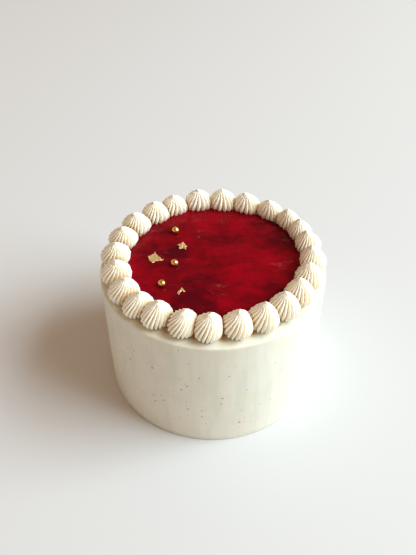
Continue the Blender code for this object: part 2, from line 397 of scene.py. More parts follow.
where = tree.nodes.new("ShaderNodeTexCoord").outputs["Object"]
upright = place_node(tree, "ShaderNodeMapping", Vector=where, Scale=UPRIGHT_BANDS)
bands = place_node(tree, "ShaderNodeTexNoise", Vector=upright.outputs[0], Scale=1.0, Detail=3.0)
painted_joint_shade = place_node(tree, "ShaderNodeAttribute", {"attribute_name": "painted_joint_shade"}).outputs["Fac"]
colour = mixed(tree, ranged(tree, grain["Mottle"], 0.0, 1.0, 0.0, 0.3), IVORY, DEEP_CREAM)
colour = mixed(tree, ranged(tree, bands.outputs["Fac"], 0.42, 0.70, 0.0, 0.8), colour, COOL_CREAM)
colour = mixed(tree, ranged(tree, seeds["Mask"], 0.0, 1.0, 0.0, 0.75), colour, SEED_GREY)
# Painted shade in the gaps between the dollops' feet
colour = mixed(tree, painted_joint_shade, colour, HONEY_SHADE)
tree.links.new(colour, shader.inputs["Base Color"])

level = place_node(tree, "ShaderNodeMapping", Vector=where, Scale=LEVEL_LINES)
scraped = place_node(tree, "ShaderNodeTexNoise", Vector=level.outputs[0], Scale=1.0, Detail=3.0)
height = arithmetic(tree, "MULTIPLY_ADD", scraped.outputs["Fac"], 0.6, grain["Height"])
height = arithmetic(tree, "MULTIPLY_ADD", pits["Mask"], -1.2, height)
bump = place_node(tree, "ShaderNodeBump", Height=height, Strength=0.4, Distance=0.15 * MM)
tree.links.new(bump.outputs["Normal"], shader.inputs["Normal"])
print("scraped icing:", len(tree.nodes), "nodes")

# %% [markdown]
# The body is turned, so its profile is drawn once and spun. A lathe shape alone looks like
# plastic: the real icing was held to a scraper that wavered, so the side gets broad upright
# bands a tenth of a millimetre deep, and the top margin and the lip get a slight waver too.

# %% Iced body
LIP_ROUND = 1.5 * MM
FOOT_ROUND = 1.0 * MM
LIP_STEPS = 6
BODY_STEPS = 360
SIDE_ROWS = 24
SIDE_WAVER = 0.13 * MM
TOP_WAVER = 0.10 * MM
BAND_WIDTH = 9 * MM
SWELL_WIDTH = 30 * MM
TOP_WAVER_WIDTH = 7 * MM

# The radii of the top's rings of points, in millimetres. They are close only near the lip, where
# the shade between the dollops is painted.
TOP_RINGS = (0, 30, 56, *range(60, 77))

body_radius = CAKE_RADIUS - 1.2 * SIDE_WAVER
body_height = CAKE_HEIGHT - TOP_WAVER
lip = [
    (
        body_radius - LIP_ROUND * (1 - math.sin(turn)),
        body_height - LIP_ROUND * (1 - math.cos(turn)),
    )
    for turn in (math.pi / 2 * step / LIP_STEPS for step in range(LIP_STEPS + 1))
]
top = [(radius * MM, body_height) for radius in TOP_RINGS]
side_top = body_height - LIP_ROUND
side_bottom = FOOT_ROUND
rows = [side_top + (side_bottom - side_top) * row / SIDE_ROWS for row in range(1, SIDE_ROWS + 1)]
side = [(body_radius, z) for z in rows]
foot = [(body_radius - 0.3 * FOOT_ROUND, 0.3 * FOOT_ROUND), (body_radius - FOOT_ROUND, 0.0)]
body = spun("iced_body", [*top, *lip, *side, *foot, (0.0, 0.0)], BODY_STEPS)


def side_waver(place):
    """How far the scraped side stands out at this place, against a true cylinder."""
    bands = unevenness(Vector((place.x, place.y, place.z * 0.12)), BAND_WIDTH)
    swell = unevenness(Vector((place.x, place.y, place.z * 0.5)), SWELL_WIDTH, 5.0)
    return SIDE_WAVER * (0.55 * bands + 0.6 * swell)


for point in body.data.vertices:
    place = point.co
    radius = math.hypot(place.x, place.y)
    if radius < MM or place.z < 0.1 * MM:
        continue
    outwards = Vector((place.x, place.y, 0.0)) / radius
    near_top = max(0.0, min(1.0, (place.z - side_top) / LIP_ROUND))
    point.co += outwards * side_waver(place) * min(1.0, radius / CAKE_RADIUS)
    point.co.z += TOP_WAVER * near_top * unevenness(place, TOP_WAVER_WIDTH, 9.0)
hand_in(body, icing, "icing", "cake")

# %% [markdown]
# A dollop is squeezed from a closed star tip, held still and then pulled away. Its ridges are
# rounded outside and meet in sharp grooves, it swells just above the foot, and it closes in a
# small nib. All twenty-four come from the same tip, so one is modelled with straight ridges: a
# circle whose points are drawn in to a star, extruded and resized ring by ring up the side, and
# merged at the tip.

# %% One straight dollop
RIDGES = 19
GROOVE_DEPTH = 0.29
DEEPEST_GROOVE = 0.42
FLANK_DEPTH = 0.24
GROOVE_CREASE = 0.8
CREASED_SHARE = 0.97
DOLLOP_HEIGHT = 19.0 * MM
HALF_DEPTH = 10.6 * MM
DOLLOP_RINGS = 20
RINGS_TO_TIP = 1.15
FOOT_SINKS = 0.5 * MM

# Where a point lies along a ridge: in the groove itself, or on the flanks beside it
GROOVE = ((0.4, 0.6),)
FLANKS = ((0.2, 0.3), (0.7, 0.8))

# The side of a dollop from foot to tip: for each share of its height, how much of its half depth
# and of its half width it has there
DOLLOP_SIDE = (
    (0.0, 0.64, 0.72), (0.16, 0.91, 0.95), (0.37, 1.02, 1.02), (0.60, 0.80, 0.85),
    (0.78, 0.47, 0.53), (0.90, 0.20, 0.22), (0.955, 0.09, 0.095), (1.0, 0.0, 0.0),
)


def side_at(share):
    """The half depth and half width at this share of the height, on a smooth line."""
    last = len(DOLLOP_SIDE) - 1
    i = max(0, min(last - 1, sum(1 for row in DOLLOP_SIDE[1:] if row[0] <= share)))
    found = []
    for column in (1, 2):
        def slope(k):
            a = DOLLOP_SIDE[max(0, k - 1)]
            b = DOLLOP_SIDE[min(last, k + 1)]
            return (b[column] - a[column]) / (b[0] - a[0])

        start, end = DOLLOP_SIDE[i], DOLLOP_SIDE[i + 1]
        width = end[0] - start[0]
        t = (share - start[0]) / width
        value = (
            (2 * t ** 3 - 3 * t ** 2 + 1) * start[column]
            + (t ** 3 - 2 * t ** 2 + t) * width * slope(i)
            + (3 * t ** 2 - 2 * t ** 3) * end[column]
            + (t ** 3 - t ** 2) * width * slope(i + 1)
        )
        found.append(max(0.0, value))
    return found


def along_ridge(place):
    """Where a point lies between a ridge at 0, a groove at 0.5 and the next ridge at 1."""
    return (math.atan2(place.y, place.x) * RIDGES / math.tau) % 1.0


def ring_height(ring):
    """Rings lie closer together towards the tip, where the shape turns fastest."""
    return DOLLOP_HEIGHT * (1 - (1 - ring / DOLLOP_RINGS) ** RINGS_TO_TIP)


def groove_depth(size):
    """Grooves keep more of their depth than the dollop keeps of its size, towards the tip."""
    return min(DEEPEST_GROOVE, GROOVE_DEPTH * math.sqrt(HALF_DEPTH / max(size, 0.1 * MM)))


def lies_in(place, parts):
    return any(low < along_ridge(place) < high for low, high in parts)


def cut_grooves(piece, z, depth_now, depth_before):
    """Draw in the groove points of the ring at this height, and in part their neighbours."""
    for parts, share in ((GROOVE, 1.0), (FLANKS, FLANK_DEPTH)):
        pick_points(piece, lambda place: place.z > z - 0.01 * MM and lies_in(place, parts))
        size = (1 - share * depth_now) / (1 - share * depth_before)
        bpy.ops.transform.resize(value=(size, size, 1), center_override=(0, 0, z))


clear_selection()
bpy.ops.mesh.primitive_circle_add(vertices=4 * RIDGES, radius=HALF_DEPTH, location=(0, 0, 0))
straight = bpy.context.active_object
straight.name = "straight_dollop"
first = straight.data.vertices[0].co
straight.data.transform(Matrix.Rotation(-math.atan2(first.y, first.x), 4, "Z"))
bpy.ops.object.mode_set(mode="EDIT")
deep, wide = side_at(0.0)
cut = groove_depth(deep * HALF_DEPTH)
cut_grooves(straight, 0.0, cut, 0.0)
bpy.ops.mesh.select_all(action="SELECT")
bpy.ops.transform.resize(value=(deep, wide, 1), center_override=(0, 0, 0))
bpy.ops.mesh.edge_face_add()
for ring in range(1, DOLLOP_RINGS + 1):
    z = ring_height(ring)
    rise = z - ring_height(ring - 1)
    # The ring made last lies one rise below this one.
    pick_points(straight, lambda place: place.z > z - 1.01 * rise)
    bpy.ops.mesh.extrude_edges_move(TRANSFORM_OT_translate={"value": (0, 0, rise)})
    if ring == DOLLOP_RINGS:
        bpy.ops.mesh.merge(type="CENTER")
        break
    new_deep, new_wide = side_at(z / DOLLOP_HEIGHT)
    bpy.ops.transform.resize(value=(new_deep / deep, new_wide / wide, 1), center_override=(0, 0, z))
    new_cut = groove_depth(new_deep * HALF_DEPTH)
    cut_grooves(straight, z, new_cut, cut)
    deep, wide, cut = new_deep, new_wide, new_cut
creased_height = CREASED_SHARE * DOLLOP_HEIGHT
pick_points(straight, lambda place: place.z < creased_height and lies_in(place, GROOVE))
bpy.ops.transform.edge_crease(value=GROOVE_CREASE)
bpy.ops.mesh.select_all(action="SELECT")
bpy.ops.mesh.normals_make_consistent(inside=False)
bpy.ops.object.mode_set(mode="OBJECT")
straight.data.shade_smooth()
apply_modifier(straight, "SUBSURF", levels=1, render_levels=1)
print("one dollop:", len(straight.data.polygons), "faces")

# %% [markdown]
# The mesh keeps two numbers at each point for the material to read: how deep it lies in a
# groove, and how far it is pressed against the next dollop. Cream in such a crease only gets
# light that has already passed through cream, so the material paints a honey-coloured shade
# there, which fades towards the tip. The second number stays at nought until the dollop has its
# neighbours.

# %% Creases of the dollop, where shade is painted
# How much of the painted groove shade fades away from the foot to the tip
GROOVE_FADE = 0.30

groove = straight.data.attributes.new("groove", "FLOAT", "POINT")
for point, value in zip(straight.data.vertices, groove.data):
    fade = 1 - GROOVE_FADE * point.co.z / DOLLOP_HEIGHT
    value.value = fade * (0.5 - 0.5 * math.cos(math.tau * along_ridge(point.co)))
straight.data.attributes.new("pressed", "FLOAT", "POINT")
print("deepest groove value:", round(max(value.value for value in groove.data), 2))

# %% Material of the piped cream
# Lighter than the scraped icing's ivory, though it is the same cream: painted light for the light that
# passes through the thick dollops
PIPED_IVORY = (0.99, 0.97, 0.86)
PIPED_GROOVE_SHADE = (0.81, 0.62, 0.33)
PIPED_SCATTER = (1.0, 0.92, 0.82)

piped, tree, shader = new_material("piped cream")
cream_shader(shader, 0.55, 1.8 * MM, 0.45)
shader.inputs["Subsurface Radius"].default_value = PIPED_SCATTER
grain = placed_group(tree, grain_group, Grain_Size=0.5 * MM, Mottle_Size=6 * MM)
groove_shade_mask = place_node(tree, "ShaderNodeAttribute", {"attribute_name": "groove"}).outputs["Fac"]
pressed_shade_mask = place_node(tree, "ShaderNodeAttribute", {"attribute_name": "pressed"}).outputs["Fac"]
mottle = ranged(tree, grain["Mottle"], 0.0, 1.0, 0.0, 0.15)
colour = mixed(tree, mottle, PIPED_IVORY, DEEP_CREAM)
# Painted shade: honey colour deep in the grooves
colour = mixed(tree, ranged(tree, groove_shade_mask, 0.46, 0.97, 0.0, 1.0), colour, PIPED_GROOVE_SHADE)
# Painted shade where the dollop presses against its neighbours
colour = mixed(tree, pressed_shade_mask, colour, HONEY_SHADE)
tree.links.new(colour, shader.inputs["Base Color"])
bump = place_node(tree, "ShaderNodeBump", Height=grain["Height"], Strength=0.3, Distance=0.08 * MM)
tree.links.new(bump.outputs["Normal"], shader.inputs["Normal"])
print("piped cream:", len(tree.nodes), "nodes")

# %% [markdown]
# Each dollop of the ring is a copy with its own mesh. It is made as wide as its room, its ridges
# wind as the baker's hand turned, its nib leans, and its sides flatten where it meets its
# neighbours. Towards the jam the ring is shorter, so there the dollops crowd together and their
# feet are squarer. The cream tears a little as the tip pulls away, so each copy is roughened, and
# most of all at its nib. The places and turns repeat those of the solids.

# %% Ring of dollops
RING_RADIUS = 68.0 * MM
SIDE_OVERLAP = 1.2 * MM
PRESS_DEPTH = 1.1 * MM
TOUCHING = -0.25 * MM
CROWDING = 0.6
LEAN_ROUND = 1.8 * MM
LEAN_INWARDS = 1.2 * MM
STRAIGHT_SHARE = 0.12
WIND_POWER = 1.4
TORN = 0.22 * MM
TORN_WIDTH = 1.3 * MM
TORN_AT_FOOT = 0.5
TORN_MORE_AT_NIB = 3.5
RAGGED_NIB = 1.4 * MM
RAGGED_WIDTH = 1.8 * MM
FIRST_DOLLOP_DEG = -165.5

# From the left going round the front: the turn to the next dollop in degrees, how far it stands
# out in millimetres, how far its ridges wind in degrees, how far it reaches towards the jam and
# towards the rim, and its height, in millimetres.
PIPING = (
    (16, 1.0, 35, 11.1, 11.0, 19.2), (14, 1.3, 40, 11.0, 10.7, 19.3), (13, 0.5, 45, 10.8, 11.3, 18.7),
    (16, -0.5, 30, 10.6, 11.5, 19.5), (14, -1.0, 60, 10.6, 11.8, 18.7), (16, 0.0, 40, 10.6, 11.6, 19.2),
    (15, -1.0, 45, 10.6, 11.8, 18.6), (15, -0.5, 40, 10.6, 11.5, 19.3), (14, -0.5, 25, 10.6, 11.2, 18.7),
    (15, 0.0, 20, 10.4, 10.6, 19.2), (15, 0.5, 25, 10.0, 10.6, 19.2), (15, 1.3, 30, 8.6, 10.6, 19.2),
    (12, 1.8, 35, 8.8, 10.2, 18.8), (12, 2.3, 35, 7.8, 9.7, 18.3), (15, 2.8, 30, 7.4, 9.2, 18.0),
    (16, 2.0, 25, 7.4, 10.0, 17.4), (16, 0.5, 25, 9.0, 10.6, 18.5), (16, 0.0, 20, 10.0, 10.6, 19.4),
    (17, 0.0, 25, 9.0, 10.8, 19.2), (14, -0.5, 25, 8.4, 10.9, 18.7), (17, 0.0, 30, 10.6, 11.2, 18.8),
    (15, 0.5, 35, 10.8, 11.2, 19.4), (16, 1.0, 40, 10.8, 11.0, 18.7), (16, 1.3, 40, 10.9, 10.7, 19.3),
)


def ring_of_dollops():
    """Each dollop's turn, reach, half steps to its neighbours, and half width along the ring."""
    places = []
    turn = math.radians(FIRST_DOLLOP_DEG)
    for i, row in enumerate(PIPING):
        reach = RING_RADIUS + row[1] * MM
        after = math.radians(row[0]) / 2
        before = math.radians(PIPING[i - 1][0]) / 2
        half_width = reach * math.sin((after + before) / 2) + SIDE_OVERLAP
        places.append((turn, reach, after, before, half_width))
        turn += math.radians(row[0])
    return places


def pressed_flat(x, y, reach, after, before):
    """The point moved clear of its neighbours, and how hard it is pressed, from 0 to 1."""
    give = PRESS_DEPTH - TOUCHING
    hard = 0.0
    for way, half in ((1, after), (-1, before)):
        clear = math.sin(half) * (x + reach) - math.cos(half) * y * way
        if clear < PRESS_DEPTH:
            push = TOUCHING + give * math.exp((clear - PRESS_DEPTH) / give) - clear
            x += math.sin(half) * push
            y -= math.cos(half) * push * way
        hard = max(hard, min(1.0, (2 * PRESS_DEPTH - clear) / (2 * PRESS_DEPTH)))
    return x, y, max(0.0, hard)


def pipe_dollop(number, room, wind, inwards, outwards, height):
    """One dollop: its mesh wound, torn, widened, leant and pressed, then put in its place."""
    turn, reach, after, before, half_width = room
    mesh = straight.data.copy()
    dollop = bpy.data.objects.new(f"piped_dollop_{number:02d}", mesh)
    scene.collection.objects.link(dollop)
    hard_values = mesh.attributes["pressed"].data
    for point, hard_value in zip(mesh.vertices, hard_values):
        share = point.co.z / DOLLOP_HEIGHT
        place = Vector((point.co.x, point.co.y))
        wound = max(0.0, (share - STRAIGHT_SHARE) / (1 - STRAIGHT_SHARE)) ** WIND_POWER
        place.rotate(Matrix.Rotation(wind * wound, 2))
        tear = TORN / HALF_DEPTH * unevenness(point.co, TORN_WIDTH, number * 1.7)
        place *= 1 + tear * (TORN_AT_FOOT + TORN_MORE_AT_NIB * share ** 2)
        crowded = CROWDING * (1 - share) * (min(0.0, place.x) / HALF_DEPTH) ** 2
        x = place.x * (inwards if place.x < 0 else outwards) / HALF_DEPTH
        y = place.y * half_width / HALF_DEPTH * (1 + crowded)
        x -= LEAN_INWARDS * share ** 2
        y += LEAN_ROUND * share ** 2
        ragged = RAGGED_NIB * share ** 5
        x += ragged * unevenness(point.co, RAGGED_WIDTH, number * 3.1)
        y += ragged * unevenness(point.co, RAGGED_WIDTH, number * 5.3)
        x, y, hard = pressed_flat(x, y, reach, after, before)
        # How much shade is painted here, where the dollop presses on a neighbour, most near the foot
        hard_value.value = hard * (1 - share)
        point.co = (x, y, share * height if share > 0 else -FOOT_SINKS)
    place = Matrix.Translation((reach * math.cos(turn), reach * math.sin(turn), CAKE_TOP))
    dollop.matrix_world = place @ Matrix.Rotation(turn, 4, "Z")
    bpy.context.view_layer.update()
    settle(dollop)
    hand_in(dollop, piped, "piping", f"dollop_{number:02d}")


rooms = ring_of_dollops()
for number, (room, (_, _, wind, inwards, outwards, height)) in enumerate(zip(rooms, PIPING), 1):
    pipe_dollop(number, room, math.radians(wind), inwards * MM, outwards * MM, height * MM)
bpy.data.objects.remove(straight)

# %% Painted honey shade where the dollops meet on the icing
JOINT_AT = 4.2 * MM
JOINT_SHADE = 3.8 * MM

joints = []
for turn, reach, after, _, _ in rooms:
    far = reach * math.cos(after) + JOINT_AT
    joints.append(Vector((far * math.cos(turn + after), far * math.sin(turn + after), body_height)))
painted_joint_shade = body.data.attributes.new("painted_joint_shade", "FLOAT", "POINT")
for point, value in zip(body.data.vertices, painted_joint_shade.data):
    if point.co.z > side_top:
        nearest = min((point.co - joint).length for joint in joints)
        value.value = max(0.0, 1 - nearest / JOINT_SHADE)
print("joints shaded:", len(joints))

# %% [markdown]
# The jam is sieved berries, spread while warm. It is clear and dark: thin places let the pale
# cream below shine through as crimson, thick ones are maroon, and the spatula left long soft
# streaks. Painting depth as colour is steadier than real transparency and costs no time, so the
# material mixes three reds by stretched noise and by soft spots at the places that show them.
# Over them lies a pale haze: torn wisps that follow the spatula, and the fine beads of the few
# berries that came through whole.

# %% Node group for a soft spot
spot_group, spot_in, spot_out = new_group(
    "soft spot",
    [
        ("Where", "NodeSocketVector", (0, 0, 0)),
        ("Centre", "NodeSocketVector", (0, 0, 0)),
        ("Radius", "NodeSocketFloat", 0.01),
    ],
    [("Mask", "NodeSocketFloat")],
)
offset = place_node(spot_group, "ShaderNodeVectorMath", {"operation": "SUBTRACT"})
spot_group.links.new(spot_in.outputs["Where"], offset.inputs[0])
spot_group.links.new(spot_in.outputs["Centre"], offset.inputs[1])
length = place_node(spot_group, "ShaderNodeVectorMath", {"operation": "LENGTH"})
spot_group.links.new(offset.outputs[0], length.inputs[0])
away = arithmetic(spot_group, "DIVIDE", length.outputs["Value"], spot_in.outputs["Radius"])
spot_group.links.new(ranged(spot_group, away, 0.0, 1.0, 1.0, 0.0), spot_out.inputs["Mask"])
print("soft spot:", len(spot_group.nodes), "nodes")

# %% Material of the jam
CRIMSON = (0.275, 0.0006, 0.0075)
RED = (0.173, 0.0008, 0.0055)
MAROON = (0.08, 0.0008, 0.0045)
HAZE = (0.54, 0.10, 0.12)

# Thick and thin places and beads, in millimetres right of and behind the middle, with their radius
THICK_SPOTS = (
    (54, 16, 17), (53, -6, 14), (-14, -32, 12), (-28, 10, 12), (-42, -14, 18), (-24, -42, 10),
    (38, 46, 15),
)
THIN_SPOTS = (
    (22, 36, 16), (44, 7, 13), (-4, 40, 16), (18, -14, 18), (-50, 28, 14), (8, -46, 14), (-32, -40, 9),
    (22, 19, 17), (-8, 9, 15), (6, 12, 16),
)
BEAD_SPOTS = ((-1, -30, 8.5), (54, 0, 7))
SPOT_PULL = 9 * MM

# How the spatula's streaks and the wisps lie: their turn, and how they are stretched
STREAK_TURN = math.radians(8)
STREAK_STRETCH = (1.0, 1.35, 1.0)
WISP_TURN = math.radians(6)
WISP_STRETCH = (32.0, 120.0, 1.0)

jam_finish, tree, shader = new_material("berry jam")
where = tree.nodes.new("ShaderNodeTexCoord").outputs["Object"]


def turned(angle, stretch):
    """The place turned about the upright axis and stretched, for a pattern that runs one way."""
    turn = (0, 0, angle)
    node = place_node(tree, "ShaderNodeMapping", Vector=where, Rotation=turn, Scale=stretch)
    return node.outputs[0]


streaked = turned(STREAK_TURN, STREAK_STRETCH)
broad = place_node(
    tree, "ShaderNodeTexNoise",
    Vector=streaked, Scale=26.0, Detail=3.0, Roughness=0.5, Distortion=0.3,
)
strands = place_node(
    tree, "ShaderNodeTexNoise",
    Vector=streaked, Scale=75.0, Detail=5.0, Roughness=0.66, Distortion=0.5,
)

# The place pulled about by the broad noise, so that the soft spots aren't round
centred = place_node(tree, "ShaderNodeVectorMath", {"operation": "SUBTRACT"})
tree.links.new(broad.outputs["Color"], centred.inputs[0])
centred.inputs[1].default_value = (0.5, 0.5, 0.5)
pull = place_node(tree, "ShaderNodeVectorMath", {"operation": "SCALE"}, Scale=SPOT_PULL)
tree.links.new(centred.outputs[0], pull.inputs[0])
moved = place_node(tree, "ShaderNodeVectorMath", {"operation": "ADD"})
tree.links.new(where, moved.inputs[0])
tree.links.new(pull.outputs[0], moved.inputs[1])


def spots(places):
    """All the soft spots of one kind as one mask."""
    total = 0.0
    for x, y, radius in places:
        centre = (x * MM, y * MM, JAM_TOP)
        spot = placed_group(
            tree, spot_group, Where=moved.outputs[0], Centre=centre, Radius=radius * MM,
        )
        total = arithmetic(tree, "MAXIMUM", spot["Mask"], total)
    return total


thick = spots(THICK_SPOTS)
thin = spots(THIN_SPOTS)
pulp = place_node(tree, "ShaderNodeTexNoise", Vector=streaked, Scale=700.0, Detail=2.0)
depth = arithmetic(tree, "MULTIPLY_ADD", strands.outputs["Fac"], 0.75, broad.outputs["Fac"])
depth = arithmetic(tree, "MULTIPLY_ADD", pulp.outputs["Fac"], 0.25, depth)
depth = arithmetic(tree, "MULTIPLY_ADD", thick, -0.15, depth)
depth = arithmetic(tree, "MULTIPLY_ADD", thin, 0.14, depth)
colour = mixed(tree, ranged(tree, depth, 0.76, 1.02), MAROON, RED)
colour = mixed(tree, ranged(tree, depth, 0.94, 1.26), colour, CRIMSON)

flow = place_node(
    tree, "ShaderNodeTexNoise",
    Vector=turned(WISP_TURN, WISP_STRETCH), Scale=1.0, Detail=4.0, Roughness=0.65, Distortion=1.0,
)
patches = place_node(tree, "ShaderNodeTexNoise", Vector=where, Scale=70.0, Detail=2.0)
torn = place_node(tree, "ShaderNodeTexNoise", Vector=where, Scale=420.0, Detail=3.0)
wisps = ranged(tree, flow.outputs["Fac"], 0.53, 0.74)
wisps = arithmetic(tree, "MULTIPLY", wisps, ranged(tree, patches.outputs["Fac"], 0.42, 0.66))
wisps = arithmetic(tree, "MULTIPLY", wisps, ranged(tree, torn.outputs["Fac"], 0.25, 0.60))
cells = place_node(tree, "ShaderNodeTexVoronoi", Vector=where, Scale=620.0)
beads = ranged(tree, cells.outputs["Distance"], 0.35, 0.85, 0.0, 0.75)
beads = arithmetic(tree, "MULTIPLY", beads, spots(BEAD_SPOTS))
beads = arithmetic(tree, "MULTIPLY", beads, ranged(tree, torn.outputs["Fac"], 0.42, 0.62))
haze = arithmetic(tree, "MAXIMUM", wisps, beads)
colour = mixed(tree, ranged(tree, haze, 0.0, 1.0, 0.0, 0.26), colour, HAZE)
tree.links.new(colour, shader.inputs["Base Color"])
tree.links.new(ranged(tree, haze, 0.0, 0.8, 0.17, 0.36), shader.inputs["Roughness"])
shader.inputs["Specular IOR Level"].default_value = 0.06
height = arithmetic(tree, "MULTIPLY_ADD", strands.outputs["Fac"], 0.6, flow.outputs["Fac"])
height = arithmetic(tree, "MULTIPLY_ADD", haze, 0.5, height)
bump = place_node(tree, "ShaderNodeBump", Height=height, Strength=0.35, Distance=0.25 * MM)
tree.links.new(bump.outputs["Normal"], shader.inputs["Normal"])
print("berry jam:", len(tree.nodes), "nodes")

# %% [markdown]
# The pool itself is spun flat, then its points are moved: its rim runs out to the dollops' feet
# and a little way into their grooves, which draws the fine zigzag edge, and its top gets soft
# swells and the low domes of whole berries under the surface.

# %% Jam pool
JAM_REACH = 63.5 * MM
JAM_MEETS = 0.97
JAM_MEETS_WIDE = 1.16
JAM_BEHIND_RIDGES = 1.5 * MM
JAM_SWELL = 0.22 * MM
JAM_SWELL_LENGTHS = (58 * MM, 51 * MM, 36 * MM)
JAM_RIPPLE = 0.10 * MM
JAM_RIPPLE_LENGTH = 7 * MM
JAM_GRAIN = 0.04 * MM
JAM_GRAIN_LENGTH = 2 * MM
JAM_SIDES = 360
JAM_RINGS = 70

# Berries under the surface, in millimetres: right of and behind the middle, radius, height
BERRIES = (
    (-1, -30, 8, 0.55), (54, 0, 6.5, 0.45), (30, 11, 6, 0.3), (12, 27, 6, 0.3), (-26, -37, 6, 0.3),
    (-42, 33, 5, 0.35), (20, -24, 5, 0.3),
)


def jam_reach(turn):
    """How far the jam runs in this direction before it meets the foot of a dollop."""
    reach = JAM_REACH
    for (dollop_turn, ring, _, _, half_width), row in zip(rooms, PIPING):
        half_depth = row[3] * MM * JAM_MEETS + GAP
        along = math.cos(turn - dollop_turn) / half_depth
        across = math.sin(turn - dollop_turn) / (half_width * JAM_MEETS_WIDE + GAP)
        centre = ring / half_depth
        square = along ** 2 + across ** 2
        inside = (centre * along) ** 2 - square * (centre ** 2 - 1)
        if along > 0 and inside > 0:
            reach = min(reach, (centre * along - math.sqrt(inside)) / square)
    return reach


def jam_level(x, y):
    """The height of the jam's top with its soft swells."""
    across = math.sin(math.tau * x / JAM_SWELL_LENGTHS[0])
    along = math.cos(math.tau * y / JAM_SWELL_LENGTHS[1])
    slanting = math.sin(math.tau * (x - y) / JAM_SWELL_LENGTHS[2])
    return JAM_TOP + JAM_SWELL * (across * along + slanting / 2)


def jam_surface(x, y):
    """The height of the jam's top with its berries and its fine unevenness too."""
    level = jam_level(x, y)
    for berry_x, berry_y, radius, rise in BERRIES:
        away = math.hypot(x - berry_x * MM, y - berry_y * MM) / (radius * MM)
        if away < 1:
            level += rise * MM * (1 - away ** 2) ** 2
    level += JAM_RIPPLE * unevenness(Vector((x, y * 2.5, 0.0)), JAM_RIPPLE_LENGTH, 3.0)
    return level + JAM_GRAIN * unevenness(Vector((x, y * 2.0, 0.0)), JAM_GRAIN_LENGTH, 4.0)


top = [(JAM_REACH * ring / JAM_RINGS, JAM_TOP) for ring in range(JAM_RINGS + 1)]
jam = spun("jam_pool", [*top, (JAM_REACH, CAKE_TOP), (0.0, CAKE_TOP)], JAM_SIDES)
for point in jam.data.vertices:
    x, y, z = point.co
    if math.hypot(x, y) > 0.01 * MM:
        stretch = (jam_reach(math.atan2(y, x)) + JAM_BEHIND_RIDGES) / JAM_REACH
        x, y = x * stretch, y * stretch
    point.co = (x, y, jam_surface(x, y) if z > CAKE_TOP + MM else CAKE_HEIGHT)
hand_in(jam, jam_finish, "jam", "jam")

# %% [markdown]
# Sugar pearls are sugar beads in an edible gold lustre. They are nearly but not quite round, and
# the lustre is a soft metal with a slightly grainy skin. Gold leaf is rougher and paler. Its
# shader is only part metal, because the crinkles of real leaf scatter the light of the whole
# room, where those of the mesh would turn black between their bright edges.

# %% Gold finishes
PALE_LUSTRE = (0.84, 0.59, 0.23)
DEEP_LUSTRE = (0.66, 0.41, 0.12)
PALE_LEAF = (0.91, 0.66, 0.33)
DEEP_LEAF = (0.48, 0.29, 0.11)


def gold(name, pale, deep, metallic, roughness, grain_size, bump_height):
    material, tree, shader = new_material(name)
    grain = placed_group(tree, grain_group, Grain_Size=grain_size, Mottle_Size=3 * grain_size)
    tree.links.new(mixed(tree, grain["Mottle"], pale, deep), shader.inputs["Base Color"])
    dulled = ranged(tree, grain["Mottle"], 0.0, 1.0, roughness - 0.06, roughness + 0.08)
    tree.links.new(dulled, shader.inputs["Roughness"])
    shader.inputs["Metallic"].default_value = metallic
    bump = place_node(
        tree, "ShaderNodeBump", Height=grain["Height"], Strength=0.4, Distance=bump_height,
    )
    tree.links.new(bump.outputs["Normal"], shader.inputs["Normal"])
    print(f"{name}: {len(tree.nodes)} nodes")
    return material


pearl_finish = gold("pearl lustre", PALE_LUSTRE, DEEP_LUSTRE, 1.0, 0.24, 0.5 * MM, 0.02 * MM)
leaf_finish = gold("gold leaf", PALE_LEAF, DEEP_LEAF, 0.6, 0.46, 0.30 * MM, 0.3 * MM)

# %% Sugar pearls
PEARL_RADIUS = 2.75 * MM
PEARL_SUNK = 0.6 * MM
PEARL_SHAPE = (1.0, 0.985, 0.97)
PEARL_DENTS = 0.03 * MM

# In millimetres right of and behind the middle
PEARLS = ((-28.0, 31.7), (-26.9, -5.2), (-34.5, -26.1))

for number, (x, y) in enumerate(PEARLS, 1):
    x, y = x * MM, y * MM
    clear_selection()
    centre = (x, y, jam_level(x, y) + PEARL_RADIUS - PEARL_SUNK)
    bpy.ops.mesh.primitive_ico_sphere_add(subdivisions=4, radius=PEARL_RADIUS, location=centre)
    pearl = bpy.context.active_object
    pearl.name = f"sugar_pearl_{number}"
    bpy.ops.object.mode_set(mode="EDIT")
    bpy.ops.transform.resize(value=PEARL_SHAPE)
    bpy.ops.object.mode_set(mode="OBJECT")
    settle(pearl)
    for point in pearl.data.vertices:
        outwards = (point.co - Vector(centre)).normalized()
        point.co += outwards * PEARL_DENTS * unevenness(point.co, 1.5 * MM, number)
    pearl.data.shade_smooth()
    hand_in(pearl, pearl_finish, "pearl")

# %% [markdown]
# Gold leaf is far thinner than paper. A torn scrap lies on the wet jam, crinkles, and lifts at
# its corners. Each scrap starts as a filled circle with as many corners as its outline, whose
# points are pulled out to the torn shape. It is cut fine, crinkled by noise, and given a skin.

# %% Scraps of gold leaf
LEAF_SKIN = 0.12 * MM
LEAF_CRINKLE = 0.6 * MM
LEAF_TEAR = 0.15 * MM
LEAF_LIFT = 0.05 * MM

# Each torn outline in millimetres from the scrap's middle, and each middle on the cake
LARGE_LEAF = (
    (-6, 1.5), (-2, 4.3), (-1.2, 7), (-0.4, 4.4), (2.3, 1), (4, -1.2), (5.7, -2.2), (3.9, -3.1),
    (0.3, -3.4), (-2, -5.8), (-4.7, -2.6),
)
STAR_LEAF = (
    (-4, 1.9), (-0.7, 4), (0.5, 4.8), (1.3, 2.5), (3.3, -0.1), (2.5, -1.6), (2.6, -3.9), (0.7, -1.8),
    (-1.5, -3), (-2.6, -2.8), (-2.1, -0.1),
)
BENT_LEAF = (
    (-2.4, -0.2), (0.5, 3.8), (3.1, 0.4), (1.8, -0.2), (0.8, 1.4), (-0.3, -0.7), (-1.2, -2.9),
    (-2.3, -1.7),
)
LEAVES = ((LARGE_LEAF, -40.5, 1.9), (STAR_LEAF, -22.1, 15.0), (BENT_LEAF, -21.4, -33.0))

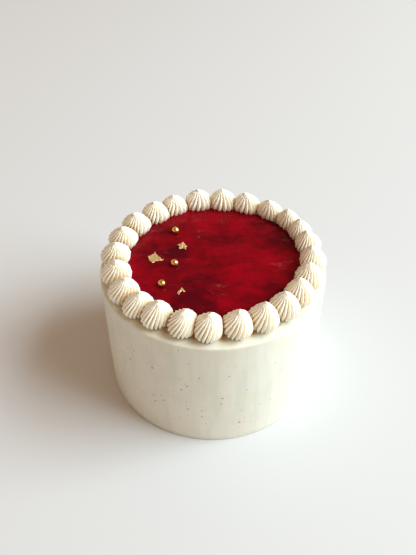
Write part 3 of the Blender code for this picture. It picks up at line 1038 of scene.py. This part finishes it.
for number, (outline, centre_x, centre_y) in enumerate(LEAVES, 1):
    clear_selection()
    bpy.ops.mesh.primitive_circle_add(vertices=len(outline), radius=5 * MM, fill_type="NGON")
    leaf = bpy.context.active_object
    leaf.name = f"gold_leaf_{number}"
    for point, (x, y) in zip(leaf.data.vertices, outline):
        point.co = ((centre_x + x) * MM, (centre_y + y) * MM, 0.0)
    bpy.ops.object.mode_set(mode="EDIT")
    bpy.ops.mesh.select_all(action="SELECT")
    bpy.ops.mesh.quads_convert_to_tris(ngon_method="BEAUTY")
    bpy.ops.mesh.subdivide(number_cuts=6)
    bpy.ops.mesh.select_all(action="SELECT")
    bpy.ops.mesh.normals_make_consistent(inside=False)
    bpy.ops.object.mode_set(mode="OBJECT")
    for point in leaf.data.vertices:
        x, y, _ = point.co
        folds = 1.3 * abs(unevenness(point.co, 1.6 * MM, number))
        wrinkles = 0.5 * unevenness(point.co, 0.7 * MM, number)
        tear_x = unevenness(point.co, 0.9 * MM, 1.0)
        tear_y = unevenness(point.co, 0.9 * MM, 2.0)
        point.co += Vector((tear_x, tear_y, 0.0)) * LEAF_TEAR
        point.co.z = jam_surface(x, y) + LEAF_LIFT + LEAF_CRINKLE * (0.7 + folds + wrinkles)
    apply_modifier(leaf, "SOLIDIFY", thickness=LEAF_SKIN, offset=0.0)
    leaf.data.shade_smooth()
    hand_in(leaf, leaf_finish, "gold_leaf")

# %% [markdown]
# Vanilla seeds are dark and well under a millimetre long, and they come with clumps and bits of
# pod up to two and a half millimetres long. The larger flecks on the side show one by one, so
# they are real grains half sunk in the icing: one flattened grain is modelled, copied to each
# place, and all are joined into one piece. The icing veils them, so they look grey brown.

# %% Vanilla seeds
FLECK_LENGTH = 2.1 * MM
FLECK_SHAPE = (0.35, 0.5, 1.0)
FLECK_FLATNESS = 0.5
FLECK_STANDS_OUT = 0.01 * MM
DARK_FLECK = (0.19, 0.16, 0.115)
PALE_FLECK = (0.35, 0.30, 0.22)

# Small ones at drawn places: how many, how low and high, and their share of the full length
SMALL_COUNT = 90
SMALL_DRAW = 7
SMALL_LEVELS = (4, 92)
SMALL_SIZES = (0.18, 0.42)

# The ones that show in front: a turn in degrees, a height in millimetres and a share of the length
SHOWN_FLECKS = (
    (-131, 75, 0.8), (-135, 62, 0.9), (-120, 68, 1.1), (-103, 62, 0.6), (-105, 55, 0.9), (-102, 60, 0.8),
    (-120, 32, 0.9), (-115, 37, 0.9), (-85, 49, 1.0), (-85.5, 43, 0.8), (-102, 35, 0.8), (-95, 28, 0.8),
    (-76, 19, 1.2), (-143, 40, 0.6), (-142, 29, 0.7), (-96, 70, 0.7), (-121, 38, 0.8), (-116, 42, 0.6),
    (-95, 35, 0.7), (-93, 20, 0.5), (-101, 83, 0.6), (-112, 12, 0.5), (-75, 33, 0.6), (-82, 72, 0.7),
)

seed_finish, tree, shader = new_material("vanilla seed")
where = tree.nodes.new("ShaderNodeTexCoord").outputs["Object"]
speckle = place_node(tree, "ShaderNodeTexNoise", Vector=where, Scale=3000.0)
fleck_colour = mixed(tree, speckle.outputs["Fac"], DARK_FLECK, PALE_FLECK)
tree.links.new(fleck_colour, shader.inputs["Base Color"])
shader.inputs["Roughness"].default_value = 0.6

clear_selection()
bpy.ops.mesh.primitive_ico_sphere_add(subdivisions=1, radius=FLECK_LENGTH / 2)
fleck = bpy.context.active_object
bpy.ops.object.mode_set(mode="EDIT")
bpy.ops.transform.resize(value=FLECK_SHAPE, center_override=(0, 0, 0))
bpy.ops.object.mode_set(mode="OBJECT")
settle(fleck)

draw = random.Random(SMALL_DRAW)
fleck_places = [(math.radians(turn), level * MM, size) for turn, level, size in SHOWN_FLECKS]
for _ in range(SMALL_COUNT):
    turn = draw.uniform(0, math.tau)
    level = draw.uniform(*SMALL_LEVELS) * MM
    fleck_places.append((turn, level, draw.uniform(*SMALL_SIZES)))
copies = []
for turn, level, size in fleck_places:
    copy = bpy.data.objects.new("fleck", fleck.data.copy())
    scene.collection.objects.link(copy)
    outwards = Vector((math.cos(turn), math.sin(turn), 0.0))
    spot = outwards * body_radius + Vector((0, 0, level))
    place = Matrix.Translation(spot + outwards * (side_waver(spot) + FLECK_STANDS_OUT))
    tumble = Matrix.Rotation(turn, 4, "Z") @ Matrix.Rotation(draw.uniform(0, math.pi), 4, "X")
    copy.matrix_world = place @ tumble @ Matrix.Diagonal((FLECK_FLATNESS, size, size, 1.0))
    copies.append(copy)
bpy.context.view_layer.update()
clear_selection()
for copy in copies:
    copy.select_set(True)
bpy.context.view_layer.objects.active = copies[0]
bpy.ops.object.join()
vanilla = bpy.context.active_object
vanilla.name = "vanilla_seeds"
settle(vanilla)
bpy.data.objects.remove(fleck)
hand_in(vanilla, seed_finish, "icing")

# %% [markdown]
# The last cell measures the dressed cake's box and prints its size.

# %% Sizes, and the end
dressed_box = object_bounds()
dressed_size = [round(side * 1000, 1) for side in dressed_box[1] - dressed_box[0]]
print("dressed box in mm:", dressed_size)
